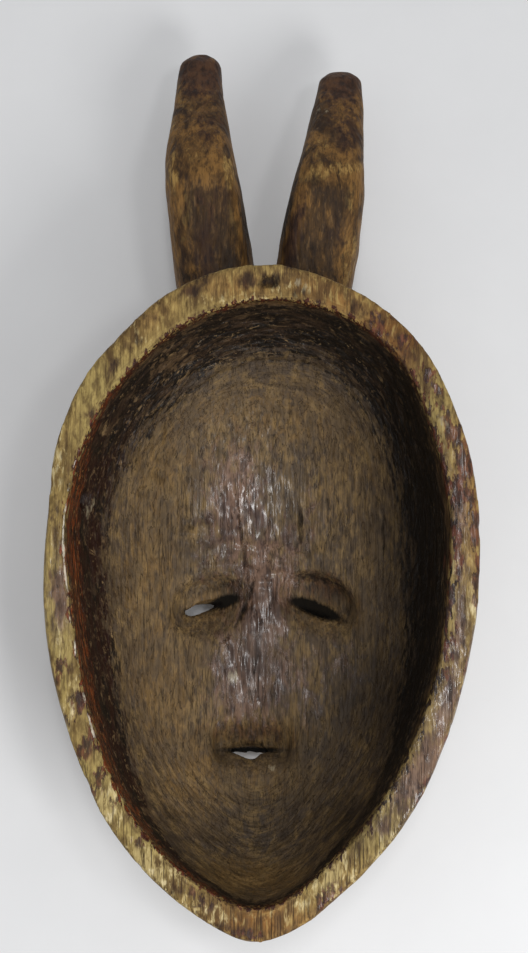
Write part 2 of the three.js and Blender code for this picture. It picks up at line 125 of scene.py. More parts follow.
# Places of the photograph: column, row, half width, half height, turn in degrees, strength.
PATCHES = {
    "patina": [
        (382, 327, 10, 8, -40, 0.6), (401, 346, 12, 7, -50, 0.65), (428, 380, 9, 16, -35, 0.75),
        (430, 408, 7, 15, -20, 0.75), (453, 434, 9, 22, -18, 1.0), (467, 466, 8, 18, -12, 1.0),
        (461, 486, 9, 16, -8, 0.8), (475, 520, 5, 36, -3, 0.85), (474, 592, 5, 22, 2, 0.7),
        (458, 548, 5, 24, 0, 0.55), (470, 676, 6, 26, 12, 0.95), (455, 732, 6, 24, 22, 0.85),
        (429, 792, 7, 16, 32, 0.8), (449, 566, 4, 30, 0, 0.7), (450, 640, 5, 34, 5, 0.65),
        (437, 440, 5, 22, -15, 0.6), (446, 490, 4, 26, -5, 0.65), (480, 560, 3, 40, 0, 0.6),
        (63, 660, 7, 20, 12, 0.5), (77, 706, 9, 16, 25, 0.62), (86, 744, 7, 18, 25, 0.6),
        (98, 780, 7, 18, 30, 0.62), (116, 799, 6, 8, 30, 0.5), (142, 842, 10, 7, 30, 0.42),
        (255, 935, 26, 7, 0, 0.42),
        (200, 900, 16, 10, 30, 0.4), (330, 896, 16, 10, -35, 0.45), (410, 340, 14, 6, -45, 0.5),
        (372, 318, 14, 6, -30, 0.36), (345, 905, 12, 8, -35, 0.55),
    ],
    "purple": [
        (458, 506, 7, 28, -4, 0.9), (460, 630, 6, 60, 3, 0.8), (447, 708, 10, 36, 15, 0.85),
        (429, 758, 14, 36, 25, 0.9), (405, 795, 13, 24, 35, 0.8), (384, 824, 10, 14, 35, 0.6),
        (60, 592, 9, 38, 0, 0.75), (120, 792, 5, 10, 25, 0.4), (50, 530, 5, 30, 0, 0.3),
        (238, 505, 32, 58, 0, 0.8), (262, 600, 24, 66, 0, 0.95), (250, 668, 36, 48, 0, 0.95),
        (288, 560, 18, 50, 0, 0.5), (310, 520, 12, 40, 0, 0.4), (205, 560, 16, 30, 0, 0.35),
        (300, 690, 26, 40, 0, 0.45), (345, 660, 26, 40, 0, 0.3), (84, 690, 6, 40, 15, 0.45),
    ],
    "ochre": [
        (160, 470, 34, 60, 0, 0.5), (150, 580, 26, 60, 0, 0.55), (172, 690, 34, 60, 0, 0.6),
        (190, 780, 34, 40, 0, 0.5), (262, 418, 74, 26, 0, 0.5), (222, 440, 20, 40, 0, 0.4),
        (355, 470, 40, 60, 0, 0.3), (214, 606, 30, 22, -15, 0.55), (322, 606, 36, 22, 20, 0.55),
        (252, 732, 38, 13, 0, 1.5), (292, 655, 40, 24, 0, 0.25), (262, 780, 60, 22, 0, 0.35),
        # The last ochre patch, low on the chin wall, is painted light: that wall is painted lighter
        # where light falls on it.
        (370, 560, 20, 50, 0, 0.25), (245, 878, 56, 14, 0, 1.0),
    ],
    "gloss": [
        (248, 505, 34, 50, 0, 0.9), (262, 575, 24, 44, 0, 0.6), (246, 672, 20, 24, 0, 0.2),
        (452, 560, 16, 90, 0, 0.5), (446, 700, 18, 80, 18, 1.2),
        (408, 795, 20, 26, 35, 1.3), (58, 590, 10, 40, 0, 0.8),
    ],
    # Painted shade in the depths of the slits, in creases beside the eyes and round the mouth, and
    # between the horns, with a few dark open cracks.
    "dark": [
        (225, 601, 13, 5, -18, 1.5), (316, 609, 20, 5, 22, 2.0), (251, 750, 27, 2.2, 0, 1.3),
        (251, 745, 26, 4, 0, 0.5), (251, 591, 2.2, 12, 12, 0.85), (241, 615, 2.2, 16, 26, 0.75),
        (228, 637, 2.0, 10, 40, 0.55),
        (277, 590, 1.4, 18, 0, 0.45),
        (243, 590, 8, 9, 0, 0.5), (222, 586, 26, 4, -18, 0.45), (322, 580, 30, 4, 12, 0.45),
        (270, 281, 10, 6, 0, 0.62), (300, 526, 2.4, 26, 0, 0.75), (243, 545, 1.8, 34, -8, 0.7),
        (383, 550, 1.5, 60, 0, 0.5),
        (184, 611, 5, 4, 0, 0.5), (347, 612, 5, 12, 20, 0.45),
        (218, 932, 4, 3, 0, 0.9), (225, 610, 22, 5, -20, 0.3),
        (247, 228, 4, 40, -13, 0.55), (287, 212, 4, 46, 14, 0.6), (190, 274, 16, 8, 0, 0.4),
    ],
    "bare": [
        (108, 806, 14, 30, 25, 0.8), (150, 868, 26, 16, 35, 0.85), (196, 908, 26, 12, 20, 0.6),
        (55, 460, 8, 34, 5, 0.6), (72, 700, 6, 40, 15, 0.5), (135, 330, 20, 14, 40, 0.45),
        (240, 300, 50, 6, 0, 0.45), (472, 604, 5, 18, 0, 0.7), (452, 590, 4, 40, 0, 0.45),
        (330, 880, 30, 14, -35, 0.8), (262, 916, 50, 9, 0, 0.22), (390, 840, 12, 26, 35, 0.5),
        (432, 745, 4, 50, 20, 0.4), (60, 640, 5, 20, 0, 0.45),
        (290, 290, 16, 10, 0, 0.4),
    ],
    "ruddy": [
        (395, 335, 60, 34, -40, 1.5), (470, 500, 20, 90, 0, 0.8), (255, 922, 70, 26, 0, 1.1),
        (330, 295, 56, 18, 20, 1.0), (240, 286, 60, 16, 0, 0.8), (455, 700, 30, 90, 20, 0.6),
        (340, 890, 40, 26, -35, 0.5), (80, 700, 12, 60, 20, 0.3), (150, 318, 44, 18, -35, 0.6),
        (60, 480, 14, 80, 5, 0.3),
    ],
    "umber": [
        (202, 74, 22, 21, 0, 1.15), (342, 82, 21, 19, 0, 1.15), (206, 130, 16, 18, 0, 0.45),
        (348, 128, 18, 24, 0, 0.5), (205, 252, 14, 34, 0, 0.6), (296, 230, 8, 50, 12, 0.6),
        (222, 200, 8, 30, 0, 0.35), (335, 240, 14, 24, 0, 0.35), (188, 292, 9, 7, 0, 0.75),
        (216, 294, 7, 6, 0, 0.6), (248, 282, 9, 8, 0, 0.7), (114, 366, 5, 11, 30, 0.65),
        (89, 415, 7, 6, 0, 0.7), (150, 318, 10, 6, -30, 0.6), (300, 292, 12, 6, 0, 0.45),
        (360, 310, 14, 8, 30, 0.6), (404, 352, 12, 8, 50, 0.7), (424, 384, 7, 14, -30, 0.6),
        (64, 446, 4, 16, 10, 0.35), (300, 930, 22, 6, -12, 0.35), (56, 500, 5, 60, 4, 0.36),
        (128, 348, 26, 8, -42, 0.36), (225, 925, 14, 7, 20, 0.45),
        (270, 280, 12, 7, 0, 0.6), (330, 905, 12, 7, -35, 0.6), (175, 888, 12, 7, 35, 0.4),
    ],
    "tan": [
        (172, 176, 5, 17, 0, 1.0), (229, 172, 5, 15, -8, 0.95), (196, 150, 10, 10, 0, 0.45),
        (188, 214, 7, 26, 0, 0.5), (329, 172, 30, 7, -6, 0.85), (349, 258, 8, 26, 8, 0.6),
        (357, 86, 3, 12, 0, 0.6), (179, 88, 3, 14, 0, 0.5), (192, 104, 14, 8, 0, 0.4),
        (320, 148, 14, 10, 0, 0.45), (172, 130, 4, 20, 10, 0.4), (232, 225, 4, 30, -12, 0.4),
        (310, 200, 6, 16, 0, 0.35), (352, 200, 6, 18, 0, 0.4), (168, 360, 28, 16, -35, 0.65),
        # The last tan patch, low on the chin wall, is painted light there.
        (138, 412, 14, 26, 20, 0.35), (168, 812, 26, 20, 40, 0.6), (245, 872, 44, 12, 8, 0.65),
        (340, 380, 20, 16, 30, 0.3), (86, 520, 5, 20, 0, 0.35),
    ],
    # Where the painted highlight on the inside edge at the left runs, and how strong it is.
    "sheen": [
        (69, 520, 16, 72, 0, 1.25), (74, 640, 14, 40, 0, 0.85), (92, 712, 14, 50, 20, 0.95),
        (80, 460, 10, 20, 20, 0.9),
    ],
    # Painted shade: the rim's shadow over the right and lower parts of the hollow's floor, the
    # middle below the eyes, and the recesses of the mouth and the eyes.
    "shade": [
        (408, 560, 34, 150, 0, 1.1), (385, 690, 46, 80, 20, 1.25), (340, 790, 60, 60, 35, 0.6),
        (300, 830, 60, 26, 0, 0.35), (390, 420, 40, 60, -20, 0.7), (330, 735, 50, 60, 10, 0.55),
        (252, 736, 38, 12, 0, 0.85), (300, 690, 30, 36, 0, 0.5), (330, 592, 30, 14, 20, 0.9),
        (262, 660, 34, 48, 0, 0.9),
        (238, 592, 12, 14, 0, 0.6), (350, 818, 34, 34, 35, 0.95),
    ],
    "pale": [
        (232, 678, 6, 7, 0, 0.75), (272, 768, 4, 3, 0, 0.8), (88, 507, 6, 12, 5, 0.6),
        (440, 418, 5, 16, -15, 0.6), (298, 284, 10, 6, 0, 0.5), (472, 608, 4, 12, 0, 0.45),
        (323, 112, 7, 5, 10, 0.35), (470, 640, 4, 10, 0, 0.4),
    ],
    "rust": [
        (267, 655, 5, 22, 0, 0.75), (280, 572, 5, 24, 0, 0.5), (252, 500, 26, 26, 0, 0.35),
        (254, 664, 30, 42, 0, 0.42),
        (252, 731, 36, 10, 0, 0.85), (322, 586, 30, 11, 15, 0.85), (238, 588, 14, 10, 0, 0.7),
        (202, 88, 18, 32, 0, 0.5), (341, 92, 16, 30, 0, 0.5), (345, 130, 18, 34, 0, 0.36),
        (210, 135, 20, 34, 0, 0.34), (205, 215, 14, 40, 0, 0.3),
    ],
}

# Where the scoops behind the eyes and the mouth fade out, and the slits that stay crisp.
SOFTENED = [
    (208, 628, 36, 20, 0, 1.0), (180, 600, 16, 24, 0, 0.7), (246, 610, 14, 24, 0, 0.6),
    (328, 632, 38, 20, 10, 1.0), (292, 610, 12, 24, 0, 0.7), (356, 605, 12, 22, 0, 0.7),
    (213, 742, 14, 34, 0, 1.0), (291, 742, 14, 34, 0, 1.0), (252, 772, 50, 12, 0, 1.0),
    (252, 714, 50, 8, 0, 0.6), (210, 581, 36, 7, -8, 0.9), (322, 579, 34, 7, 14, 0.5),
]
SLITS = [
    (207, 604, 22, 7, -12, 1.0), (316, 609, 24, 8, 22, 1.0), (251, 750, 28, 6, 0, 1.0),
]

# Where a slit's edge is pulled along, and by how many millimetres along x, y, z.
SLIT_PULLS = [
    ((233, 755, 7, 7, 0, 1.0), (0.3, 1.2, 0)), ((268, 755, 7, 7, 0, 1.0), (-2.6, 1.0, 0)),
    ((188, 604, 6, 4.5, 0, 1.0), (-0.4, -1.7, 0)), ((202, 615, 9, 4.5, 0, 1.0), (0, 1.0, 0)),
    ((212, 604, 6, 5, 0, 1.0), (1.8, 0.2, 0)),
]

# Fibres left standing in the right eye slit.
STANDING_FIBRES = (316, 617, 14, 6, 20, 1.0)

# Ellipses of the photograph, as column, row, half width, half height: where the cuts of the upper
# wall end, and where the tool marks turn to run round the hollow, above and below.
CUTS_END = (276, 452, 108, 88)
TURN_ABOVE = (276, 560, 150, 190)
TURN_BELOW = (256, 640, 150, 170)

# The gouge strokes round the chin: their middle in the photograph, squash and width.
CHIN_MIDDLE, CHIN_SQUASH, CHIN_STROKE = (262, 700), 0.92, 2.7

# Rows of the photograph between which something fades in.
UPPER_ROWS = (470, 400)
CHIN_ROWS = (745, 800)

# Heights along the mask, in millimetres about the face's middle, between which something fades in.
HORN_ROOT = (112, 128)
HORN_TIP = (236, 246)
HORN_SHAFT = (202, 166)
CHIN_LINES = (-40, -95)

# Whole numbers that the noise is scrambled with.
HASH_AXES = (73856093, 19349663, 83492791)
HASH_SEED, HASH_MIX = 40503, 1274126177

# What paint() stores on the vertices and the material reads.
ZONE_NAMES = (
    "rim", "hollow", "horn", "worn", "crease_shade", "inward", "fray", "red", "wall", "left", "lines",
    "unlit_wall_shade", "across", "kink", "shaft", "turned", *PATCHES,
)


def smooth(low, high, value):
    """0 below low, 1 above high, and an S curve between them."""
    t = np.clip((value - low) / (high - low), 0, 1)
    return t * t * (3 - 2 * t)


def along_rim(degrees, column):
    """The closed cubic through one column of the rim table, as the CAD solid has it."""
    angles = np.append(RIM[:, 0], RIM[0, 0] + 360)
    turn = np.mod(degrees, 360)
    i = np.searchsorted(angles, turn, side="right") - 1
    count = len(RIM)

    def angle(k):
        return RIM[k % count, 0] + 360 * (k // count)

    def value(k):
        return RIM[k % count, column]

    span = angle(i + 1) - angle(i)
    t = (turn - angle(i)) / span
    slope_a = (value(i + 1) - value(i - 1)) / (angle(i + 1) - angle(i - 1)) * span
    slope_b = (value(i + 2) - value(i)) / (angle(i + 2) - angle(i)) * span
    t2, t3 = t * t, t * t * t
    return (
        value(i) * (2 * t3 - 3 * t2 + 1) + slope_a * (t3 - 2 * t2 + t)
        + value(i + 1) * (3 * t2 - 2 * t3) + slope_b * (t3 - t2)
    )


def chord_gap(degrees, inset):
    """How much further out the rim's true curve is than the straight facets of the CAD solid."""
    def radius(turn):
        return along_rim(turn, 1) - inset * along_rim(turn, 2)

    start = np.floor(degrees / FACET) * FACET
    first, last = radius(start), radius(start + FACET)
    before, after = np.radians(degrees - start), np.radians(start + FACET - degrees)
    reach = first * np.sin(before) + last * np.sin(after)
    chord = first * last * math.sin(math.radians(FACET)) / reach
    return radius(degrees) / chord - 1


def around(table, degrees, column):
    """A column of a table of angles, joined by straight lines round the circle."""
    return np.interp(np.mod(degrees, 360), table[:, 0], table[:, column], period=360)


def at_height(horn, height, column):
    """A column of a horn's table at heights along the mask."""
    return np.interp(height, horn[:, 0], horn[:, column])


def noise(points, seed):
    """Smooth seeded noise from -1 to 1 whose features are about one unit wide."""
    cell = np.floor(points).astype(np.int64)
    ease = points - cell
    ease = ease * ease * (3 - 2 * ease)
    total = np.zeros(len(points))
    for corner in np.ndindex(2, 2, 2):
        x, y, z = ((cell + corner) * HASH_AXES).T
        mixed = x ^ y ^ z ^ (seed * HASH_SEED)
        mixed = ((mixed ^ (mixed >> 13)) * HASH_MIX) & 0x7FFFFFFF
        value = ((mixed ^ (mixed >> 15)) & 0xFFFF) / 32767.5 - 1
        share = np.prod(np.where(corner, ease, 1 - ease), axis=1)
        total += value * share
    return total


def rough_noise(points, size, octaves, seed):
    """Noise with finer octaves on it. Size is the width of its largest features along x, y, z."""
    total = np.zeros(len(points))
    for k in range(octaves):
        total += 0.5 ** k * noise(points / np.asarray(size) * 2 ** k + 17.3 * k, seed + k)
    return total / (2 - 0.5 ** (octaves - 1))


def relief(name, points):
    size, octaves, seed = RELIEF[name]
    return rough_noise(points, size, octaves, seed)


def turned_from(degrees, side):
    """How many degrees a direction is from a side, whichever way round."""
    return np.abs((degrees - side + 180) % 360 - 180)


def mean_of_neighbours(values, pairs):
    """For each vertex, the mean of the values of the vertices that share an edge with it."""
    count = len(values)
    a, b = pairs.T
    degree = np.bincount(pairs.ravel(), minlength=count)
    columns = [
        np.bincount(a, values[b, k], count) + np.bincount(b, values[a, k], count)
        for k in range(values.shape[1])
    ]
    return np.stack(columns, axis=1) / degree[:, None]


def in_photograph(points):
    """Where points in millimetres are in the photograph, as columns and rows."""
    away = points * MM - np.array(CAMERA_PLACE)
    cos, sin = math.cos(CAMERA_TILT), math.sin(CAMERA_TILT)
    up = away[:, 1] * cos + away[:, 2] * sin
    depth = away[:, 1] * sin - away[:, 2] * cos
    column = PICTURE[0] / 2 + CAMERA_FOCUS * away[:, 0] / depth
    row = PICTURE[1] / 2 - CAMERA_FOCUS * up / depth
    return column, row


def on_rim_plane(points):
    """Where the camera sees points in millimetres against the rim's plane: angle and radius."""
    eye = np.array(CAMERA_PLACE) / MM
    share = (eye[2] - RIM_HEIGHT_MM) / np.maximum(eye[2] - points[:, 2], 1)
    flat = eye + (points - eye) * share[:, None] + CAD_SHIFT_MM
    return np.degrees(np.arctan2(flat[:, 1], flat[:, 0])), np.hypot(flat[:, 0], flat[:, 1])


def spot(u, v, half_width, half_height, turn, strength, column, row):
    """A soft ellipse of the photograph, turned clockwise by turn degrees."""
    cos, sin = math.cos(math.radians(turn)), math.sin(math.radians(turn))
    x = ((column - u) * cos + (row - v) * sin) / half_width
    y = (-(column - u) * sin + (row - v) * cos) / half_height
    return strength * np.exp(-0.7 * (x * x + y * y))


def from_middle(ellipse, column, row):
    """How far places of the photograph are from an ellipse's middle. Its border is at 1."""
    u, v, half_width, half_height = ellipse
    return np.hypot((column - u) / half_width, (row - v) / half_height)


def patches(name, column, row):
    """The strongest of the named patches at each point of the photograph."""
    return np.max([spot(*place, column, row) for place in PATCHES[name]], axis=0)


def eased(points, pairs, share, times):
    """Points moved towards the mean of their neighbours, by their share, a number of times."""
    for _ in range(times):
        points = points + 0.6 * share[:, None] * (mean_of_neighbours(points, pairs) - points)
    return points


def take_modified(piece):
    """Makes what the modifiers of a piece give its own mesh."""
    graph = bpy.context.evaluated_depsgraph_get()
    piece.data = bpy.data.meshes.new_from_object(piece.evaluated_get(graph))
    piece.modifiers.clear()


def remeshed(node):
    """A copy of a CAD node with an even skin of small quads."""
    piece = bpy.data.objects.new("mask_carving", node.data.copy())
    bpy.context.scene.collection.objects.link(piece)
    remesh = piece.modifiers.new("skin", "REMESH")
    remesh.mode = "VOXEL"
    remesh.voxel_size = VOXEL
    remesh.use_smooth_shade = True
    take_modified(piece)
    piece.data.materials.clear()
    return piece


def drop_crumbs(mesh):
    """Removes everything but the largest joined part, because the even skin leaves a crumb."""
    solid = bmesh.new()
    solid.from_mesh(mesh)
    waiting = set(solid.verts)
    parts = []
    while waiting:
        reached = [waiting.pop()]
        part = []
        while reached:
            vertex = reached.pop()
            part.append(vertex)
            beside = {edge.other_vert(vertex) for edge in vertex.link_edges} & waiting
            waiting -= beside
            reached.extend(beside)
        parts.append(part)
    parts.sort(key=len)
    for crumb in parts[:-1]:
        bmesh.ops.delete(solid, geom=crumb, context="VERTS")
    solid.to_mesh(mesh)
    solid.free()


def read_points(mesh):
    flat = np.empty(len(mesh.vertices) * 3, np.float32)
    mesh.vertices.foreach_get("co", flat)
    return flat.reshape(-1, 3).astype(float) / MM


def read_normals(mesh):
    flat = np.empty(len(mesh.vertices) * 3, np.float32)
    mesh.vertex_normals.foreach_get("vector", flat)
    return flat.reshape(-1, 3).astype(float)


def write_points(mesh, points):
    low, high = (np.array(corner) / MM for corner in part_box(NODE))
    inside = np.clip(points, low + EDGE_MARGIN_MM, high - EDGE_MARGIN_MM)
    inside[:, 2] = np.clip(points[:, 2], low[2], high[2])
    mesh.vertices.foreach_set("co", (inside * MM).astype(np.float32).ravel())
    mesh.update()


def read_edges(mesh):
    flat = np.empty(len(mesh.edges) * 2, np.int32)
    mesh.edges.foreach_get("vertices", flat)
    return flat.reshape(-1, 2)


def store(mesh, name, values):
    layer = mesh.attributes.new(name, "FLOAT", "POINT")
    layer.data.foreach_set("value", np.asarray(values, np.float32))


def store_places(mesh, name, points):
    """Stores places in millimetres, for a noise that doesn't follow the straight axes."""
    layer = mesh.attributes.new(name, "FLOAT_VECTOR", "POINT")
    layer.data.foreach_set("vector", (points * MM).astype(np.float32).ravel())


class Zones:
    """Which part of the mask each vertex is on, from 0 to 1, and how far it is from the rim."""

    def __init__(self, points, normals):
        face = points + CAD_SHIFT_MM
        self.x, self.y, self.z = face.T
        self.turn = np.degrees(np.arctan2(self.y, self.x))
        radius = np.hypot(self.x, self.y)
        outer = along_rim(self.turn, 1)
        inner = outer - along_rim(self.turn, 2)
        self.from_inner = radius - inner
        self.from_outer = outer - radius
        on_band = smooth(-1.5, 0.3, self.from_inner) * smooth(-1.2, 0.6, self.from_outer)
        self.rim = on_band * smooth(RIM_HEIGHT_MM - 5, RIM_HEIGHT_MM - 2.2, self.z)
        mouth_of_hollow = np.array([0, 0, RIM_HEIGHT_MM + 25])
        away = mouth_of_hollow - face
        away /= np.linalg.norm(away, axis=1)[:, None]
        facing = np.einsum("ij,ij->i", away, normals)
        within = smooth(0.8, -0.8, self.from_inner) * (1 - self.rim)
        self.hollow = smooth(-0.15, 0.2, facing) * within
        beyond = smooth(-3, 2, -self.from_outer)
        self.horn = beyond * smooth(86, 80, self.z) * smooth(*HORN_ROOT, self.y)
        seen_turn, seen_radius = on_rim_plane(points)
        self.seen_turn = seen_turn
        seen_inner = along_rim(seen_turn, 1) - along_rim(seen_turn, 2)
        self.inward = seen_inner - seen_radius
        self.inside = np.maximum(self.inward, 0)
        self.column, self.row = in_photograph(points)
        self.upward = normals[:, 2]


def carve(points, normals, pairs):
    """The relief of hand-cut and worn wood, as new points."""
    zones = Zones(points, normals)

    # The facets of the CAD solid's outline are rounded out to the curve that they follow.
    share = zones.from_outer / (zones.from_outer + np.abs(zones.from_inner) + 1)
    outward = (1 - zones.horn) * (1 - zones.hollow) * smooth(0.6, 0.2, share)
    outward *= smooth(5, 30, points[:, 2])
    inward = np.clip(zones.hollow + zones.rim, 0, 1) * smooth(-30, -5, zones.from_inner)
    inward *= 1 - outward
    swell = outward * chord_gap(zones.turn, 0) + inward * chord_gap(zones.turn, 1)
    points = points + swell[:, None] * (points + CAD_SHIFT_MM) * np.array([1, 1, 0])

    # Arrises that many hands have rounded: the rim's two edges, most of all inside on the left.
    left = smooth(95, 45, turned_from(zones.turn, LEFT))
    near_inner = np.exp(-((zones.from_inner / (1.6 + 0.9 * left)) ** 2))
    near_outer = np.exp(-((zones.from_outer / 1.7) ** 2))
    top = smooth(RIM_HEIGHT_MM - 7, RIM_HEIGHT_MM - 3, zones.z)
    worn = np.clip(np.maximum(near_inner, near_outer) * top + 0.18, 0, 1)
    worn = np.maximum(worn, smooth(*HORN_TIP, zones.y) * zones.horn)
    worn *= smooth(0.2, 2.5, points[:, 2])
    points = eased(points, pairs, worn, 6)

    # The scoops behind the eyes and the mouth run out softly into the hollow.
    soft = sum(spot(*place, zones.column, zones.row) for place in SOFTENED)
    crisp = sum(spot(*place, zones.column, zones.row) for place in SLITS)
    soft = np.clip(1.3 * soft - 1.6 * crisp, 0, 1) * zones.hollow
    points = eased(points, pairs, soft, 26)

    # Uneven surface left by the adze, and finer waves along the fibres.
    push = 0.5 * relief("adze", points)
    push += 0.22 * relief("waves along the fibres", points)

    # The band of the rim dips between its edges here and there, and its outer edge is nicked.
    push -= zones.rim * (0.35 + 0.35 * relief("dips of the rim", points))
    nick = smooth(0.35, 0.75, relief("outer nicks", points))
    push -= 0.9 * nick * near_outer * top
    push -= 0.55 * smooth(0.3, 0.7, relief("inner nicks", points)) * near_inner * top

    # Ragged cuts across the upper wall inside, and a crease where they end.
    wall = zones.hollow * smooth(0.5, 3, zones.inside)
    upper = wall * smooth(20, 45, zones.seen_turn) * smooth(165, 140, zones.seen_turn)
    arch = from_middle(CUTS_END, zones.column, zones.row)
    upper *= smooth(1.0, 1.08, arch)
    push += 1.1 * upper * relief("cuts of the upper wall", points)
    crease = np.exp(-(((arch - 1.03 - 0.02 * noise(points / 9, 44)) / 0.022) ** 2))
    above = smooth(*UPPER_ROWS, zones.row)
    push -= 0.8 * crease * above * zones.hollow
    push += 0.35 * zones.hollow * above * smooth(1.0, 0.9, arch) * smooth(0.72, 0.9, arch)

    # Curved strokes of the gouge round the chin end of the hollow.
    chin_column, chin_row = CHIN_MIDDLE
    round_chin = np.hypot(zones.column - chin_column, (zones.row - chin_row) * CHIN_SQUASH)
    stroke = np.sin(round_chin / CHIN_STROKE + 2.2 * noise(points / 14, 51))
    chin = smooth(*CHIN_ROWS, zones.row) * zones.hollow
    push += 0.28 * chin * stroke * (0.6 + 0.4 * noise(points / 8, 53))

    # Long furrows down the side walls.
    sides = wall * (1 - upper) * (1 - chin) * smooth(34, 10, zones.inside)
    push += 0.3 * sides * relief("furrows of the side walls", points)

    # Checks that opened along the fibres in the middle of the hollow.
    middle = zones.hollow * patches("purple", zones.column, zones.row)
    split = 1 - np.abs(relief("checks", points)) * 7
    push -= 0.5 * middle * np.clip(split, 0, 1)

    # Fibres left standing in the right eye slit, which the camera can't see through.
    lip = spot(*STANDING_FIBRES, zones.column, zones.row) * smooth(0.2, 0.5, normals[:, 1])
    push += 1.8 * lip * (1 - zones.rim) * smooth(0, -20, zones.from_inner)

    # The mouth slit's two ends turn up, and the left eye slit is long and slender.
    for place, pull in SLIT_PULLS:
        share = spot(*place, zones.column, zones.row) * smooth(50, 40, points[:, 2])
        points = points + share[:, None] * pull

    # Flats and dents on the horns.
    push += zones.horn * 0.55 * relief("flats of the horns", points)
    push -= zones.horn * 0.5 * smooth(0.3, 0.7, relief("dents of the horns", points))

    # The plainer face side keeps the same cutting, and the parts that it rests on stay as they are.
    push *= smooth(0.3, 4, points[:, 2])
    return points + push[:, None] * normals


def count_triangles(mesh):
    return sum(len(face.vertices) - 2 for face in mesh.polygons)


def thin_hidden_side(piece):
    """Takes triangles off the plainer face side, so that the piece stays within its limit."""
    mesh = piece.data
    zones = Zones(read_points(mesh), read_normals(mesh))
    shown = zones.rim + zones.hollow + zones.horn * smooth(-0.7, -0.3, zones.upward)
    shown += smooth(RIM_HEIGHT_MM - 16, RIM_HEIGHT_MM - 10, zones.z)
    hidden = piece.vertex_groups.new(name="hidden")
    hidden.add(np.flatnonzero(shown < 0.01).tolist(), 1.0, "REPLACE")
    thin = piece.modifiers.new("thin", "DECIMATE")
    thin.ratio = MOST_TRIANGLES / count_triangles(mesh)
    thin.vertex_group = hidden.name
    take_modified(piece)
    piece.vertex_groups.clear()
    write_points(piece.data, read_points(piece.data))


def paint(mesh):
    """Stores on the vertices where each finish of the wood is."""
    points, normals = read_points(mesh), read_normals(mesh)
    pairs = read_edges(mesh)
    zones = Zones(points, normals)
    column, row = zones.column, zones.row
    shown = smooth(-0.1, 0.15, zones.upward) * np.clip(zones.rim + zones.hollow + zones.horn, 0, 1)

    bend = np.einsum("ij,ij->i", points - mean_of_neighbours(points, pairs), normals)
    for _ in range(2):
        bend = mean_of_neighbours(bend[:, None], pairs)[:, 0]

    red = around(WALL_STAIN, zones.seen_turn, 1)
    dark = around(WALL_STAIN, zones.seen_turn, 2)
    inside = zones.inside
    left = smooth(80, 45, turned_from(zones.seen_turn, LEFT))

    store(mesh, "rim", zones.rim)
    store(mesh, "hollow", zones.hollow)
    store(mesh, "horn", zones.horn)
    store(mesh, "worn", np.clip(bend * 9, 0, 1))
    # Painted shade where the surface bends inwards.
    store(mesh, "crease_shade", np.clip(-bend * 9, 0, 1))
    near = np.clip(zones.hollow + zones.rim, 0, 1)
    store(mesh, "red", near * smooth(1.5, 0.45, inside / np.maximum(red, 0.1)))
    store(mesh, "wall", near * smooth(1.45, 0.45, inside / dark))
    store(mesh, "inward", np.where(near > 0.02, zones.inward, -20))
    right = smooth(75, 40, turned_from(zones.seen_turn, RIGHT))
    store(mesh, "fray", 20 + 40 * right)
    # Painted shade on the wall of the unlit side.
    store(mesh, "unlit_wall_shade", smooth(110, 35, turned_from(zones.seen_turn, UNLIT)))
    store(mesh, "left", left)
    store(mesh, "lines", zones.rim * np.clip(0.55 + 0.45 * smooth(*CHIN_LINES, zones.y), 0, 1))
    # The painted shade of the slits also goes on their downward-facing walls.
    slits = np.clip(3 * sum(spot(*place, column, row) for place in SLITS), 0, 1)
    slits *= smooth(-0.7, -0.4, zones.upward)
    for name in PATCHES:
        seen_part = np.maximum(shown, slits) if name == "dark" else shown
        store(mesh, name, seen_part * patches(name, column, row))

    # Tool marks run round the hollow near its wall, and along the mask in its middle.
    seen = np.radians(zones.seen_turn)
    ring = np.stack([RING * np.cos(seen), RING * np.sin(seen), zones.inward], axis=1)
    store_places(mesh, "ring", ring)
    above = smooth(0.72, 1.0, from_middle(TURN_ABOVE, column, row))
    below = smooth(0.62, 0.95, from_middle(TURN_BELOW, column, row))
    turned = np.where(row < TURN_ABOVE[1], above, below)
    store(mesh, "turned", np.clip(turned, 0, 1) * near * smooth(-6, 0, zones.inward))

    on_left = zones.x < BETWEEN_HORNS
    middle, width = (
        np.where(on_left, at_height(LEFT_HORN, zones.y, k), at_height(RIGHT_HORN, zones.y, k))
        for k in (1, 2)
    )
    store(mesh, "across", np.minimum(np.abs(zones.x - middle) / (width / 2), 2))
    kink = np.exp(-(((zones.y - np.where(on_left, LEFT_KINK, RIGHT_KINK)) / 7) ** 2))
    store(mesh, "kink", zones.horn * kink * smooth(0.2, 0.7, zones.upward))
    store(mesh, "shaft", zones.horn * smooth(*HORN_SHAFT, zones.y))


def linear(red, green, blue):
    """A colour given as 0 to 255 per channel, as the shader takes it."""
    def one(v):
        v /= 255
        return v / 12.92 if v <= 0.04045 else ((v + 0.055) / 1.055) ** 2.4
    return (one(red), one(green), one(blue), 1.0)


